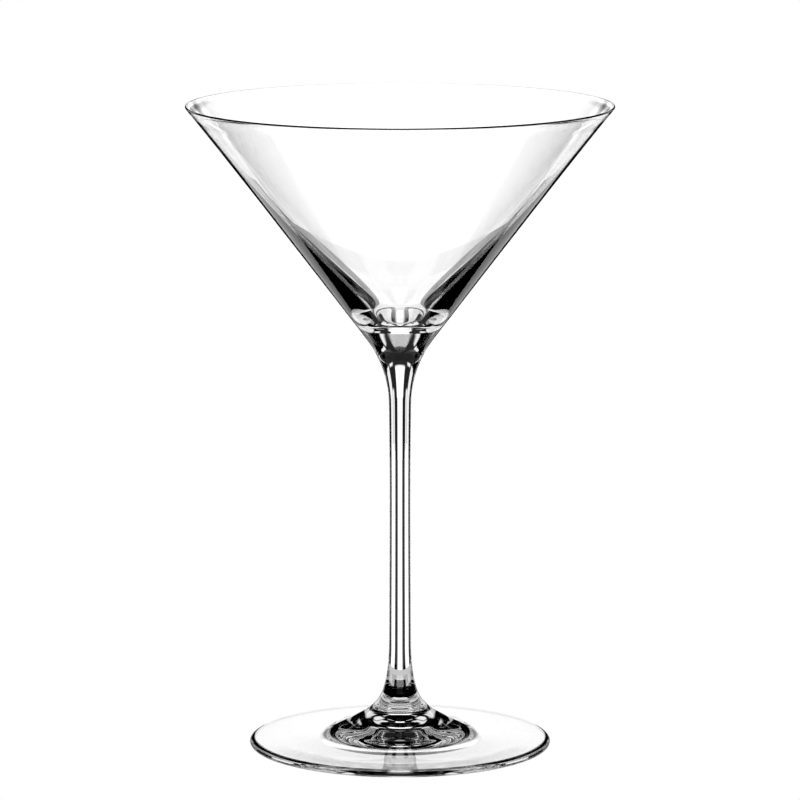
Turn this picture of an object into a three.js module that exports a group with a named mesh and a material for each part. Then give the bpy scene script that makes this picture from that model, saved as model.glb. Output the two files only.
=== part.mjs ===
// A long-stemmed cocktail ("martini") glass in clear crystal.
//
// The real glass is three pieces fused end to end while hot: a blown conical bowl with a solid tip,
// a drawn solid stem, and a pressed foot with a raised hub. Each piece is one body of revolution
// about Z, and each fused joint is a flat disc where two pieces meet face to face.
//
// Millimetres, +Z up. The origin is on the resting plane, under the centre of the foot.
// Outlines are lists of (radius, height) points, drawn from the axis and back to the axis.
// An angle called a lean is measured from the vertical, outwards.

import * as THREE from 'three';

const degrees = THREE.MathUtils.degToRad;

// Overall size
const GLASS_HEIGHT = 172;
const RIM_RADIUS = 56.5;
const FOOT_RADIUS = 40.2;

// Fused joints
const STEM_TO_BOWL_HEIGHT = 103;
const FOOT_TO_STEM_HEIGHT = 14.5;
const FOOT_JOINT_RADIUS = 4.67;

// Stem: a slim rod that flares towards both joints
const STEM_RADIUS = 2.9;
const STEM_FLARE_TOP_HEIGHT = 28;
const STEM_FLARE_BEND_HEIGHT = 19.6;

// Bowl outside: a fillet rises out of the stem and turns into an almost straight cone
const FILLET_RADIUS = 29.7;
const FILLET_START_HEIGHT = 91.9;
const CONE_FOOT_LEAN = degrees(37.2);
const CONE_RIM_LEAN = degrees(38.6);

// Bowl inside: the wall is thin at the rim and thickens downwards by a power law, and the cavity
// closes in a rounded bottom over solid glass
const RIM_WALL = 0.55;
const TIP_WALL = 4.2;
const WALL_GROWTH_POWER = 3.1;
const CAVITY_BEND_HEIGHT = 118.4;
const CAVITY_BEND_REACH = 6.5;
const CAVITY_FLOOR_HEIGHT = 115.9;
const CAVITY_FLOOR_REACH = 7.3;

// Foot: a thin disc with a rounded edge, which climbs in one sweep to the hub under the stem
const FOOT_EDGE_THICKNESS = 2.1;
const FOOT_EDGE_WIDTH = 1.7;
const DISC_EDGE_REACH = 1;
const HUB_RADIUS = 17.4;
const HUB_BASE_HEIGHT = 4.8;
const HUB_BASE_LEAN = degrees(62.3);
const HUB_BASE_REACH_OUTWARDS = 4.4;
const HUB_BASE_REACH_INWARDS = 6.8;
const HUB_TOP_LEAN = degrees(23.8);
const HUB_TOP_REACH = 5.6;

// Underneath, the foot is slightly hollow, with a shallow dish pressed deeper round its centre, and
// rests on a narrow flat ring near the edge
const RESTING_RING_INNER_RADIUS = 37.2;
const HOLLOW_CENTRE_HEIGHT = 1.85;
const DISH_RADIUS = 5.9;
const DISH_HEIGHT = 2.67;
const DISH_REACH_INWARDS = 1.6;
const DISH_REACH_OUTWARDS = 3.5;
const HOLLOW_SHELF_RADIUS = 14.7;
const HOLLOW_SHELF_HEIGHT = 1.6;
const SHELF_REACH_INWARDS = 5;
const SHELF_REACH_OUTWARDS = 10;
const HOLLOW_CENTRE_REACH = 1.9;
const HOLLOW_FADE_RADIUS = 21.2;
const HOLLOW_FADE_HEIGHT = 0.43;

// How finely round shapes are divided, and how close two points may be and count as one
const TURN_SEGMENTS = 48;
const FILLET_STEPS = 8;
const WALL_STEPS = 20;
const LIP_STEPS = 8;
const CAVITY_FLOOR_STEPS = 12;
const FOOT_EDGE_STEPS = 8;
const SWEEP_STEPS = 10;
const SAME_POINT = 1e-6;

const GLASS_COLOUR = 0xf4f7f7;
const GLASS_ROUGHNESS = 0.02;

const point = (radius, height) => new THREE.Vector2(radius, height);

// The point a distance away along a lean, upwards and outwards for a positive distance.
const along = (from, lean, distance) => point(
  from.x + distance * Math.sin(lean),
  from.y + distance * Math.cos(lean),
);

// An arc of an upright ellipse, from one angle to another in the direction that the angles run.
function arc(centre, width, height, fromAngle, toAngle, steps) {
  const clockwise = toAngle < fromAngle;
  const curve = new THREE.EllipseCurve(centre.x, centre.y, width, height, fromAngle, toAngle, clockwise);
  return curve.getPoints(steps);
}

// A smooth sweep between two points, which leaves each one towards its handle.
const sweep = (from, fromHandle, toHandle, to, steps) => (
  new THREE.CubicBezierCurve(from, fromHandle, toHandle, to).getPoints(steps)
);

// The point where a line through a with one lean meets a line through b with another.
function crossing(a, leanA, b, leanB) {
  const slopeA = Math.tan(leanA);
  const slopeB = Math.tan(leanB);
  const height = (b.x - a.x + slopeA * a.y - slopeB * b.y) / (slopeA - slopeB);
  return point(a.x + slopeA * (height - a.y), height);
}

// The fillet is a concave arc round a centre outside the stem. It is shared by stem and bowl.
const filletAngleAt = (height) => Math.PI - Math.asin((height - FILLET_START_HEIGHT) / FILLET_RADIUS);

function fillet(fromAngle, toAngle) {
  const centre = point(STEM_RADIUS + FILLET_RADIUS, FILLET_START_HEIGHT);
  return arc(centre, FILLET_RADIUS, FILLET_RADIUS, fromAngle, toAngle, FILLET_STEPS);
}

function wallThickness(height) {
  const depth = (GLASS_HEIGHT - height) / (GLASS_HEIGHT - CAVITY_BEND_HEIGHT);
  return RIM_WALL + (TIP_WALL - RIM_WALL) * depth ** WALL_GROWTH_POWER;
}

// The inside of the wall, from the rim down to the bend into the cavity floor.
function innerWall(outerWall) {
  const points = [];
  for (let step = WALL_STEPS - 1; step > 0; step -= 1) {
    const outer = outerWall.getPoint(step / WALL_STEPS);
    if (outer.y < CAVITY_BEND_HEIGHT) break;
    const wallLeanCosine = outerWall.getTangent(step / WALL_STEPS).y;
    points.push(point(outer.x - wallThickness(outer.y) / wallLeanCosine, outer.y));
  }
  return points;
}

// Joins stretches of an outline end to end and leaves out the points that they share.
function outline(...stretches) {
  const points = [];
  for (const next of stretches.flat()) {
    const last = points.at(-1);
    if (!last || last.distanceTo(next) > SAME_POINT) points.push(next);
  }
  return points;
}

function glassMaterial() {
  return new THREE.MeshStandardMaterial({ color: GLASS_COLOUR, roughness: GLASS_ROUGHNESS, metalness: 0 });
}

// A body of revolution about Z from an outline that runs upwards on its outer side.
function turned(name, points) {
  const geometry = new THREE.LatheGeometry(points, TURN_SEGMENTS);
  geometry.rotateX(Math.PI / 2);
  const mesh = new THREE.Mesh(geometry, glassMaterial());
  mesh.name = name;
  return mesh;
}

function makeBowl() {
  const flare = fillet(filletAngleAt(STEM_TO_BOWL_HEIGHT), Math.PI - CONE_FOOT_LEAN);
  const coneStart = flare.at(-1);

  const lipRadius = RIM_WALL / 2;
  const lipCentre = point(RIM_RADIUS - lipRadius, GLASS_HEIGHT - lipRadius);
  const lip = arc(lipCentre, lipRadius, lipRadius, -CONE_RIM_LEAN, Math.PI - CONE_RIM_LEAN, LIP_STEPS);
  const coneBend = crossing(coneStart, CONE_FOOT_LEAN, lip[0], CONE_RIM_LEAN);
  const outerWall = new THREE.QuadraticBezierCurve(coneStart, coneBend, lip[0]);

  const inside = innerWall(outerWall);
  const bendStart = inside.at(-1);
  const bendDirection = bendStart.clone().sub(inside.at(-2)).normalize();
  const floor = sweep(
    bendStart,
    bendStart.clone().addScaledVector(bendDirection, CAVITY_BEND_REACH),
    point(CAVITY_FLOOR_REACH, CAVITY_FLOOR_HEIGHT),
    point(0, CAVITY_FLOOR_HEIGHT),
    CAVITY_FLOOR_STEPS,
  );
  const jointCentre = point(0, STEM_TO_BOWL_HEIGHT);
  return turned('bowl', outline([jointCentre], flare, outerWall.getPoints(WALL_STEPS), lip, inside, floor));
}

function makeStem() {
  const flareBase = point(FOOT_JOINT_RADIUS, FOOT_TO_STEM_HEIGHT);
  const flareBend = point(STEM_RADIUS, STEM_FLARE_BEND_HEIGHT);
  const flareTop = point(STEM_RADIUS, STEM_FLARE_TOP_HEIGHT);
  const flare = new THREE.QuadraticBezierCurve(flareBase, flareBend, flareTop).getPoints(SWEEP_STEPS);
  const bowlFillet = fillet(Math.PI, filletAngleAt(STEM_TO_BOWL_HEIGHT));
  const footJointCentre = point(0, FOOT_TO_STEM_HEIGHT);
  const bowlJointCentre = point(0, STEM_TO_BOWL_HEIGHT);
  return turned('stem', outline([footJointCentre], flare, bowlFillet, [bowlJointCentre]));
}

function makeFoot() {
  const dish = point(DISH_RADIUS, DISH_HEIGHT);
  const shelf = point(HOLLOW_SHELF_RADIUS, HOLLOW_SHELF_HEIGHT);
  const centreToDish = sweep(
    point(0, HOLLOW_CENTRE_HEIGHT),
    point(HOLLOW_CENTRE_REACH, HOLLOW_CENTRE_HEIGHT),
    point(dish.x - DISH_REACH_INWARDS, dish.y),
    dish,
    SWEEP_STEPS,
  );
  const dishToShelf = sweep(
    dish,
    point(dish.x + DISH_REACH_OUTWARDS, dish.y),
    point(shelf.x - SHELF_REACH_INWARDS, shelf.y),
    shelf,
    SWEEP_STEPS,
  );
  const shelfToRing = sweep(
    shelf,
    point(shelf.x + SHELF_REACH_OUTWARDS, shelf.y),
    point(HOLLOW_FADE_RADIUS, HOLLOW_FADE_HEIGHT),
    point(RESTING_RING_INNER_RADIUS, 0),
    SWEEP_STEPS,
  );
  const underside = outline(centreToDish, dishToShelf, shelfToRing);

  const halfEdge = FOOT_EDGE_THICKNESS / 2;
  const edgeCentre = point(FOOT_RADIUS - FOOT_EDGE_WIDTH, halfEdge);
  const edge = arc(edgeCentre, FOOT_EDGE_WIDTH, halfEdge, -Math.PI / 2, Math.PI / 2, FOOT_EDGE_STEPS);

  const discEdge = edge.at(-1);
  const hubBase = point(HUB_RADIUS, HUB_BASE_HEIGHT);
  const hubTop = point(FOOT_JOINT_RADIUS, FOOT_TO_STEM_HEIGHT);
  const disc = sweep(
    discEdge,
    point(discEdge.x - DISC_EDGE_REACH, discEdge.y),
    along(hubBase, -HUB_BASE_LEAN, -HUB_BASE_REACH_OUTWARDS),
    hubBase,
    SWEEP_STEPS,
  );
  const hub = sweep(
    hubBase,
    along(hubBase, -HUB_BASE_LEAN, HUB_BASE_REACH_INWARDS),
    along(hubTop, -HUB_TOP_LEAN, -HUB_TOP_REACH),
    hubTop,
    SWEEP_STEPS,
  );
  return turned('foot', outline(underside, edge, disc, hub, [point(0, FOOT_TO_STEM_HEIGHT)]));
}

const glass = new THREE.Group();
glass.name = 'martini_glass';
glass.add(makeFoot(), makeStem(), makeBowl());

export default glass;
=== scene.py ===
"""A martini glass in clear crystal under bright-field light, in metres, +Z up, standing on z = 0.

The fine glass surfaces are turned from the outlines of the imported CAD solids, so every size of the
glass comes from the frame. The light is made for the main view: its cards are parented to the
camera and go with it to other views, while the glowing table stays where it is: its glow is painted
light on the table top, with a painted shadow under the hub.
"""

import math

import bpy
import numpy as np
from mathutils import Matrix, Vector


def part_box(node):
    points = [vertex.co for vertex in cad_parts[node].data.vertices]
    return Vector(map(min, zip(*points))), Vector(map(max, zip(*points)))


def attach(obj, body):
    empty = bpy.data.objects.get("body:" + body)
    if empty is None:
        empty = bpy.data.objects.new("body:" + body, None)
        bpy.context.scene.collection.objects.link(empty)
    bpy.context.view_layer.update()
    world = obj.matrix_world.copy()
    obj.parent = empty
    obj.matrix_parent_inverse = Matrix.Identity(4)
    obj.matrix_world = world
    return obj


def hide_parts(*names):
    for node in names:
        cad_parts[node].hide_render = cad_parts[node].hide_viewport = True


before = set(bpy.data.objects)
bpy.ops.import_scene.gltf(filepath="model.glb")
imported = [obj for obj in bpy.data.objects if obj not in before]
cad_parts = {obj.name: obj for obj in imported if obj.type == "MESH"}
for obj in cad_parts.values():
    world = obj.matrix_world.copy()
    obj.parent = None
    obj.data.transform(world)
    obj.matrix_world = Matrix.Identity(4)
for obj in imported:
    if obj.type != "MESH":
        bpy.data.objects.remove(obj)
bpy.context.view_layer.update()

# ---------------------------------------------------------------- camera, at the photograph's angle
CAMERA_DISTANCE = 1.36
CAMERA_HEIGHT = 0.3176
CAMERA_PITCH = 0.1634
CAMERA_LENS_MM = 233.8
SENSOR_MM = 36.0
CAMERA_CLIP_START = 0.05
CAMERA_CLIP_END = 50.0

# ---------------------------------------------------------------- fine glass surfaces
# Rings of vertices stand up to RING_SPACING apart on straight stretches and four times that on
# curves, and closer where a curve turns by more than RING_MAX_TURN between them.
TURN_SEGMENTS = 288
RING_SPACING = 0.0005
CURVE_SPACING_FACTOR = 4
RING_MAX_TURN = math.radians(2.0)
CORNER_ANGLE = math.radians(28.0)
SAME_PLACE = 2e-6
SAME_HEIGHT = 1e-6
LEVEL = 1e-7
ON_AXIS = 1e-7
AXIS_RADIUS = 1e-9
MIRROR_KNOTS = 3
GLASS_SLOT = 0
JOINT_SLOT = 1

# ---------------------------------------------------------------- glass
GLASS_IOR = 1.52
GLASS_ROUGHNESS = 0.0
TINT_SCALE = 30.0
CLEAREST_TINT = (1.0, 1.0, 1.0)
DEEPEST_TINT = (0.99, 0.99, 0.99)
WAVE_SCALE = 60.0
WAVE_DETAIL = 1.0
WAVE_STRENGTH = 0.2
WAVE_HEIGHT = 0.0001

# ---------------------------------------------------------------- light
# White cards stand behind, beside and in front of the glass, and everything else is dark, so the
# edges of the clear glass draw themselves in black. The flags are black cards. A card is given by
# its x, y and z, each a range or a single value, and its brightness. The glass is at the origin
# and the camera on the -Y side. Mirrored cards are given on the right and repeated on the left.
BACK_Y = 0.45
FLAG_Y = 0.445
BEHIND_BACK_Y = 0.451
SIDE_X = 0.50
FRONT_Y = -0.90
CARD_EDGE = 0.02
CENTRE_CARDS = {
    "backdrop": ((-0.095, 0.095), BACK_Y, (-0.12, 0.267), 1.3),
    "upper": ((-0.200, 0.200), BEHIND_BACK_Y, (0.70, 1.20), 0.45),
    "front": ((-0.340, 0.340), FRONT_Y, (0.330, 0.614), 0.33),
}
MIRRORED_CARDS = {
    "flag": ((0.072, 0.120), FLAG_Y, (-0.13, 0.060), 0.0),
    "side": ((0.230, 0.453), BACK_Y, (-0.12, 0.330), 1.0),
    "low_side": ((0.160, 0.250), BEHIND_BACK_Y, (-0.12, 0.120), 1.0),
    "notch": ((0.115, 0.220), BACK_Y, (0.267, 0.330), 1.0),
    "wing": (SIDE_X, (0.0, 0.288), (0.300, 0.664), 0.5),
}

# The table top glows in ring sectors, painted light in place of light falling on it, each with an
# inner and outer radius, a start and end angle in degrees on either side of straight behind the
# glass, and a brightness. It is dark under the hub, a painted shadow of the glass, in a wedge behind
# it, and between the sectors.
TABLE_DEPTH = -0.0003
TABLE_STEPS = 24
TABLE_SECTORS = (
    (0.0206, 0.033, 15, 180, 0.7),
    (0.033, 0.055, 0, 180, 0.7),
    (0.055, 0.500, 0, 7.5, 1.15),
    (0.055, 0.500, 7.5, 10, 0.5),
    (0.055, 0.500, 19, 42, 1.1),
    (0.055, 0.500, 80, 180, 0.7),
)

# The floor and the wall round the glass, which only the camera sees
WALL_DISTANCE = 4.0
STAGE_SIZE = 12.0
SURROUND_BRIGHTNESS = 1.0
WORLD_BRIGHTNESS = 0.0

# ---------------------------------------------------------------- picture
VIEW_GAMMA = 0.8
GLASS_BOUNCES = 40
GLOSSY_BOUNCES = 16
TRANSPARENT_BOUNCES = 64

QUAD = [(0, 1, 2, 3)]
UNIT_SQUARE = ((0, 0), (1, 0), (1, 1), (0, 1))


def make_camera():
    data = bpy.data.cameras.new("camera")
    data.lens = CAMERA_LENS_MM
    data.sensor_width = SENSOR_MM
    data.clip_start = CAMERA_CLIP_START
    data.clip_end = CAMERA_CLIP_END
    camera = bpy.data.objects.new("camera", data)
    camera.location = (0.0, -CAMERA_DISTANCE, CAMERA_HEIGHT)
    camera.rotation_euler = (math.pi / 2 - CAMERA_PITCH, 0.0, 0.0)
    bpy.context.scene.collection.objects.link(camera)
    bpy.context.scene.camera = camera
    bpy.context.view_layer.update()
    return camera


# ---------------------------------------------------------------- outlines from the CAD solids
def place_key(vertex):
    """A vertex of the half plane by its place, so that vertices at the same place count as one."""
    return round(vertex.co.x / SAME_PLACE), round(vertex.co.z / SAME_PLACE)


def cad_outline(node):
    """A CAD solid's (radius, height) points, from the lower axis point to the upper one."""
    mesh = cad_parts[node].data
    half_plane = {
        v.index: place_key(v)
        for v in mesh.vertices
        if abs(v.co.y) < SAME_PLACE and v.co.x > -SAME_PLACE
    }
    place = {
        place_key(v): (max(v.co.x, 0.0), v.co.z)
        for v in mesh.vertices
        if v.index in half_plane
    }
    links = {}
    for edge in mesh.edges:
        a, b = (half_plane.get(i) for i in edge.vertices)
        if a is not None and b is not None and a != b:
            links.setdefault(a, set()).add(b)
            links.setdefault(b, set()).add(a)
    on_axis = sorted((key for key in links if key[0] == 0), key=lambda key: key[1])
    chain = [on_axis[0]]
    while chain[-1] != on_axis[-1]:
        following = [key for key in links[chain[-1]] if key not in chain[-2:]]
        chain.append(following[0])
    return np.array([place[key] for key in chain])


def split_at_corners(points):
    """The outline cut into smooth stretches wherever it turns by more than CORNER_ANGLE."""
    steps = np.diff(points, axis=0)
    headings = np.arctan2(steps[:, 1], steps[:, 0])
    turns = np.abs((np.diff(headings) + math.pi) % (2 * math.pi) - math.pi)
    cuts = [0, *(np.nonzero(turns > CORNER_ANGLE)[0] + 1), len(points) - 1]
    return [points[a:b + 1] for a, b in zip(cuts, cuts[1:])]


def spline_bends(t, y):
    """Second derivatives of the natural cubic spline through y(t)."""
    n = len(t)
    h = np.diff(t)
    system = np.eye(n)
    right = np.zeros((n, y.shape[1]))
    for i in range(1, n - 1):
        system[i, i - 1:i + 2] = h[i - 1], 2 * (h[i - 1] + h[i]), h[i]
        right[i] = 6 * ((y[i + 1] - y[i]) / h[i] - (y[i] - y[i - 1]) / h[i - 1])
    return np.linalg.solve(system, right)


def straight_run(start, end):
    count = max(2, int(np.hypot(*(end - start)) / RING_SPACING) + 1)
    return start + np.linspace(0, 1, count)[:, None] * (end - start)


def span_points(start, end, start_bend, end_bend, length):
    """Points on one span of a spline, without the span's end."""
    slope = (end - start) / length - length * (2 * start_bend + end_bend) / 6
    bend_change = end_bend - start_bend

    def heading(s):
        return slope + start_bend * s + bend_change * s * s / (2 * length)

    first, last = heading(0), heading(length)
    turn = abs(math.atan2(first[0] * last[1] - first[1] * last[0], first @ last))
    spacing_count = math.ceil(length / RING_SPACING / CURVE_SPACING_FACTOR)
    count = max(1, spacing_count, math.ceil(turn / RING_MAX_TURN))
    return [
        start + slope * s + start_bend * s * s / 2 + bend_change * s ** 3 / (6 * length)
        for s in np.linspace(0, length, count, endpoint=False)
    ]


def smooth_stretch(points):
    """A fine run of points on the smooth curve through a stretch, level where it meets the axis."""
    if len(points) == 2:
        return straight_run(*points)
    mirror = np.array([-1.0, 1.0])
    none = points[:0]
    starts_on_axis = points[0, 0] == 0
    ends_on_axis = points[-1, 0] == 0
    before = points[1:MIRROR_KNOTS + 1][::-1] * mirror if starts_on_axis else none
    after = points[-MIRROR_KNOTS - 1:-1][::-1] * mirror if ends_on_axis else none
    knots = np.vstack([before, points, after])
    t = np.concatenate([[0], np.cumsum(np.hypot(*np.diff(knots, axis=0).T))])
    bends = spline_bends(t, knots)
    dense = []
    for i in range(len(before), len(before) + len(points) - 1):
        dense += span_points(knots[i], knots[i + 1], bends[i], bends[i + 1], t[i + 1] - t[i])
    dense = np.array([*dense, points[-1]])
    dense[:, 0] = np.maximum(dense[:, 0], 0.0)
    return dense


# ---------------------------------------------------------------- turned meshes
def ring_grid(points):
    """The outline's points turned about Z, as an array of rings of positions."""
    angles = np.arange(TURN_SEGMENTS) * 2 * math.pi / TURN_SEGMENTS
    grid = np.empty((len(points), TURN_SEGMENTS, 3))
    grid[..., 0] = points[:, :1] * np.cos(angles)
    grid[..., 1] = points[:, :1] * np.sin(angles)
    grid[..., 2] = points[:, 1:]
    return grid


def grid_normals(grid, points):
    """The outward normal at each position. Those of a ring on the axis come from the next ring."""
    along = np.gradient(grid, axis=0, edge_order=2 if len(points) > 2 else 1)
    around = np.roll(grid, -1, axis=1) - np.roll(grid, 1, axis=1)
    facing = np.cross(around, along)
    for end, next_in in ((0, 1), (-1, -2)):
        if points[end, 0] < AXIS_RADIUS:
            facing[end] = facing[next_in].mean(axis=0)
    return facing / np.linalg.norm(facing, axis=2, keepdims=True)


def add_ring(vertices, positions):
    """Adds a ring and returns its vertex numbers. A ring on the axis is one vertex, repeated."""
    start = len(vertices)
    if np.hypot(positions[:, 0], positions[:, 1]).max() < ON_AXIS:
        vertices.append(positions[0])
        return np.full(TURN_SEGMENTS, start)
    vertices.extend(positions)
    return start + np.arange(TURN_SEGMENTS)


def band_faces(low, high, low_normals, high_normals):
    """Faces between two rings, as (vertex, normal) corners. Those at the axis are triangles."""
    faces = []
    for j in range(TURN_SEGMENTS):
        k = (j + 1) % TURN_SEGMENTS
        corners = [
            (low[j], low_normals[j]),
            (low[k], low_normals[k]),
            (high[k], high_normals[k]),
            (high[j], high_normals[j]),
        ]
        if low[j] == low[k]:
            corners.pop(0)
        elif high[j] == high[k]:
            corners.pop(3)
        faces.append(corners)
    return faces


def is_fused_joint(points, joint_heights):
    is_level = np.ptp(points[:, 1]) < LEVEL
    return is_level and any(abs(points[0, 1] - height) < SAME_HEIGHT for height in joint_heights)


def turned_mesh(name, outline, joint_heights, materials):
    vertices, faces, slots = [], [], []
    last_ring = None
    for stretch in split_at_corners(outline):
        points = smooth_stretch(stretch)
        grid = ring_grid(points)
        normals = grid_normals(grid, points)
        slot = JOINT_SLOT if is_fused_joint(points, joint_heights) else GLASS_SLOT
        low = add_ring(vertices, grid[0]) if last_ring is None else last_ring
        for i in range(1, len(points)):
            high = add_ring(vertices, grid[i])
            band = band_faces(low, high, normals[i - 1], normals[i])
            faces += band
            slots += [slot] * len(band)
            low = high
        last_ring = low
    mesh = bpy.data.meshes.new(name)
    mesh.from_pydata([tuple(v) for v in vertices], [], [[v for v, _ in face] for face in faces])
    for material in materials:
        mesh.materials.append(material)
    mesh.polygons.foreach_set("material_index", slots)
    mesh.polygons.foreach_set("use_smooth", [True] * len(faces))
    mesh.normals_split_custom_set([tuple(normal) for face in faces for _, normal in face])
    mesh.update()
    return mesh


def turned_piece(name, node, joint_heights, materials):
    """A CAD node's fine visual piece. Its flat faces at a fused joint get the second material."""
    piece = bpy.data.objects.new(name, turned_mesh(name, cad_outline(node), joint_heights, materials))
    bpy.context.scene.collection.objects.link(piece)
    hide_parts(node)
    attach(piece, "root")


# ---------------------------------------------------------------- materials
def new_material(name):
    material = bpy.data.materials.new(name)
    material.use_nodes = True
    material.node_tree.nodes.clear()
    return material, material.node_tree.nodes, material.node_tree.links


def glass_material():
    """Clear crystal with the faint unevenness of drawn and pressed glass."""
    material, nodes, links = new_material("clear_glass")
    output = nodes.new("ShaderNodeOutputMaterial")
    shader = nodes.new("ShaderNodeBsdfPrincipled")
    shader.inputs["IOR"].default_value = GLASS_IOR
    shader.inputs["Transmission Weight"].default_value = 1.0
    shader.inputs["Roughness"].default_value = GLASS_ROUGHNESS
    place = nodes.new("ShaderNodeTexCoord")
    tint = nodes.new("ShaderNodeTexNoise")
    tint.inputs["Scale"].default_value = TINT_SCALE
    colours = nodes.new("ShaderNodeValToRGB")
    colours.color_ramp.elements[0].color = (*CLEAREST_TINT, 1.0)
    colours.color_ramp.elements[1].color = (*DEEPEST_TINT, 1.0)
    waves = nodes.new("ShaderNodeTexNoise")
    waves.inputs["Scale"].default_value = WAVE_SCALE
    waves.inputs["Detail"].default_value = WAVE_DETAIL
    bump = nodes.new("ShaderNodeBump")
    bump.inputs["Strength"].default_value = WAVE_STRENGTH
    bump.inputs["Distance"].default_value = WAVE_HEIGHT
    links.new(place.outputs["Object"], tint.inputs["Vector"])
    links.new(tint.outputs["Fac"], colours.inputs["Fac"])
    links.new(colours.outputs["Color"], shader.inputs["Base Color"])
    links.new(place.outputs["Object"], waves.inputs["Vector"])
    links.new(waves.outputs["Fac"], bump.inputs["Height"])
    links.new(bump.outputs["Normal"], shader.inputs["Normal"])
    links.new(shader.outputs[0], output.inputs["Surface"])
    return material


def joint_material():
    """A fused joint has no surface left to see."""
    material, nodes, links = new_material("fused_joint")
    output = nodes.new("ShaderNodeOutputMaterial")
    shader = nodes.new("ShaderNodeBsdfTransparent")
    links.new(shader.outputs[0], output.inputs["Surface"])
    return material


def light_material(name, brightness):
    material, nodes, links = new_material(name)
    output = nodes.new("ShaderNodeOutputMaterial")
    shader = nodes.new("ShaderNodeEmission")
    shader.inputs["Color"].default_value = (1.0, 1.0, 1.0, 1.0)
    shader.inputs["Strength"].default_value = brightness
    links.new(shader.outputs[0], output.inputs["Surface"])
    return material


def math_node(nodes, operation):
    node = nodes.new("ShaderNodeMath")
    node.operation = operation
    return node


def soft_light_material(name, brightness, width, height):
    """Emission that fades over CARD_EDGE towards all four edges of a card with a 0..1 UV map."""
    material, nodes, links = new_material(name)
    output = nodes.new("ShaderNodeOutputMaterial")
    shader = nodes.new("ShaderNodeEmission")
    place = nodes.new("ShaderNodeUVMap")
    split = nodes.new("ShaderNodeSeparateXYZ")
    links.new(place.outputs["UV"], split.inputs[0])
    both_fades = math_node(nodes, "MULTIPLY")
    for number, (axis, size) in enumerate((("X", width), ("Y", height))):
        inset = math_node(nodes, "PINGPONG")
        inset.inputs[1].default_value = 0.5
        links.new(split.outputs[axis], inset.inputs[0])
        fade = nodes.new("ShaderNodeMapRange")
        fade.inputs["From Max"].default_value = min(0.5, CARD_EDGE / size)
        links.new(inset.outputs[0], fade.inputs["Value"])
        links.new(fade.outputs[0], both_fades.inputs[number])
    strength = math_node(nodes, "MULTIPLY")
    strength.inputs[1].default_value = brightness
    links.new(both_fades.outputs[0], strength.inputs[0])
    links.new(strength.outputs[0], shader.inputs["Strength"])
    links.new(shader.outputs[0], output.inputs["Surface"])
    return material


# ---------------------------------------------------------------- stage
def stage_mesh(name, vertices, faces, material, uvs=None):
    mesh = bpy.data.meshes.new(name)
    mesh.from_pydata(vertices, [], faces)
    mesh.materials.append(material)
    if uvs is not None:
        layer = mesh.uv_layers.new(name="card")
        for loop in mesh.loops:
            layer.data[loop.index].uv = uvs[loop.vertex_index]
    piece = bpy.data.objects.new(name, mesh)
    bpy.context.scene.collection.objects.link(piece)
    return piece


def follow(camera, piece):
    piece.parent = camera
    piece.matrix_parent_inverse = camera.matrix_world.inverted()


def make_card(name, camera, x, y, z, brightness):
    """A lit card. Two of x, y and z are ranges, and the third is a single value."""
    ranges = [v if isinstance(v, tuple) else (v, v) for v in (x, y, z)]
    flat = [low == high for low, high in ranges].index(True)
    first, second = [axis for axis in range(3) if axis != flat]
    corners = []
    for u, v in UNIT_SQUARE:
        corner = [low for low, _ in ranges]
        corner[first] = ranges[first][u]
        corner[second] = ranges[second][v]
        corners.append(tuple(corner))
    width = ranges[first][1] - ranges[first][0]
    height = ranges[second][1] - ranges[second][0]
    material = soft_light_material(name, brightness, width, height)
    piece = stage_mesh(name, corners, QUAD, material, UNIT_SQUARE)
    piece.visible_camera = False
    follow(camera, piece)


def make_cards(camera):
    for name, place in CENTRE_CARDS.items():
        make_card(name, camera, *place)
    for name, (x, y, z, brightness) in MIRRORED_CARDS.items():
        mirrored_x = tuple(-v for v in reversed(x)) if isinstance(x, tuple) else -x
        make_card(f"{name}_right", camera, x, y, z, brightness)
        make_card(f"{name}_left", camera, mirrored_x, y, z, brightness)


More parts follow.
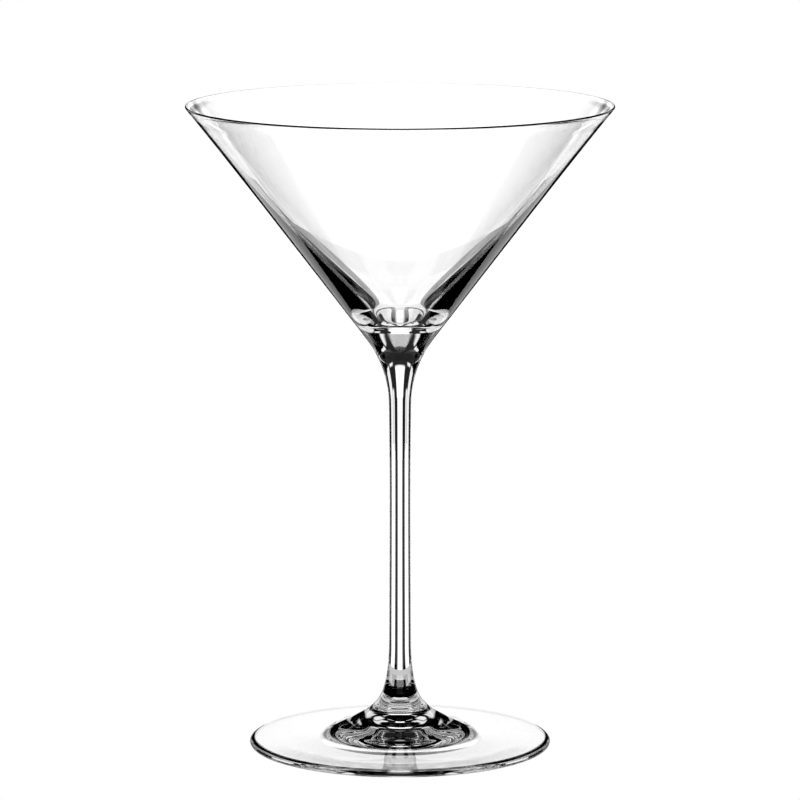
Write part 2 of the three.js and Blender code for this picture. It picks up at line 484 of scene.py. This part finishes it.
def make_white_surround(camera):
    """A white floor and wall that only the camera sees, so no light from them enters the glass."""
    s = STAGE_SIZE
    d = WALL_DISTANCE
    floor_corners = [(-s, -s, 0), (s, -s, 0), (s, s, 0), (-s, s, 0)]
    wall_corners = [(-s, d, -s), (s, d, -s), (s, d, s), (-s, d, s)]
    floor = stage_mesh("floor", floor_corners, QUAD, light_material("pale_floor", SURROUND_BRIGHTNESS))
    wall = stage_mesh("wall", wall_corners, QUAD, light_material("pale_wall", SURROUND_BRIGHTNESS))
    follow(camera, wall)
    for piece in (floor, wall):
        piece.visible_transmission = False
        piece.visible_glossy = False
        piece.visible_diffuse = False


def ring_sector(name, side, inner, outer, start, end, material):
    """A flat ring sector on one side of straight behind the glass, which the camera doesn't see."""
    angles = np.radians(np.linspace(start, end, TABLE_STEPS + 1))
    vertices = [
        (side * radius * math.sin(angle), radius * math.cos(angle), TABLE_DEPTH)
        for radius in (inner, outer)
        for angle in angles
    ]
    faces = [(i, i + 1, TABLE_STEPS + i + 2, TABLE_STEPS + i + 1) for i in range(TABLE_STEPS)]
    sector = stage_mesh(name, vertices, faces, material)
    sector.visible_camera = False


def make_table():
    brightnesses = {sector[-1] for sector in TABLE_SECTORS}
    # The sectors glow as painted light on the table top, and the gap left under the hub is a painted
    # shadow.
    materials = {b: light_material(f"table_light_{b}", b) for b in sorted(brightnesses)}
    for number, (*shape, brightness) in enumerate(TABLE_SECTORS):
        for hand, side in (("left", -1), ("right", 1)):
            ring_sector(f"table_{number}_{hand}", side, *shape, materials[brightness])


def set_world(brightness):
    world = bpy.data.worlds.new("studio")
    world.use_nodes = True
    colour = (brightness, brightness, brightness, 1.0)
    world.node_tree.nodes["Background"].inputs[0].default_value = colour
    bpy.context.scene.world = world


def set_render_looks():
    """A plain view with deep darks, and paths long enough to leave the solid glass."""
    scene = bpy.context.scene
    scene.view_settings.view_transform = "Standard"
    scene.view_settings.gamma = VIEW_GAMMA
    scene.cycles.max_bounces = GLASS_BOUNCES
    scene.cycles.transmission_bounces = GLASS_BOUNCES
    scene.cycles.glossy_bounces = GLOSSY_BOUNCES
    scene.cycles.transparent_max_bounces = TRANSPARENT_BOUNCES
    scene.cycles.blur_glossy = 0.0
    scene.cycles.sample_clamp_indirect = 0.0


camera = make_camera()
set_world(WORLD_BRIGHTNESS)
set_render_looks()
make_white_surround(camera)
make_table()
make_cards(camera)

JOINTS = [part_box("bowl")[0].z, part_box("foot")[1].z]
GLASS = [glass_material(), joint_material()]
for node in ("foot", "stem", "bowl"):
    turned_piece(f"{node}_glass", node, JOINTS, GLASS)
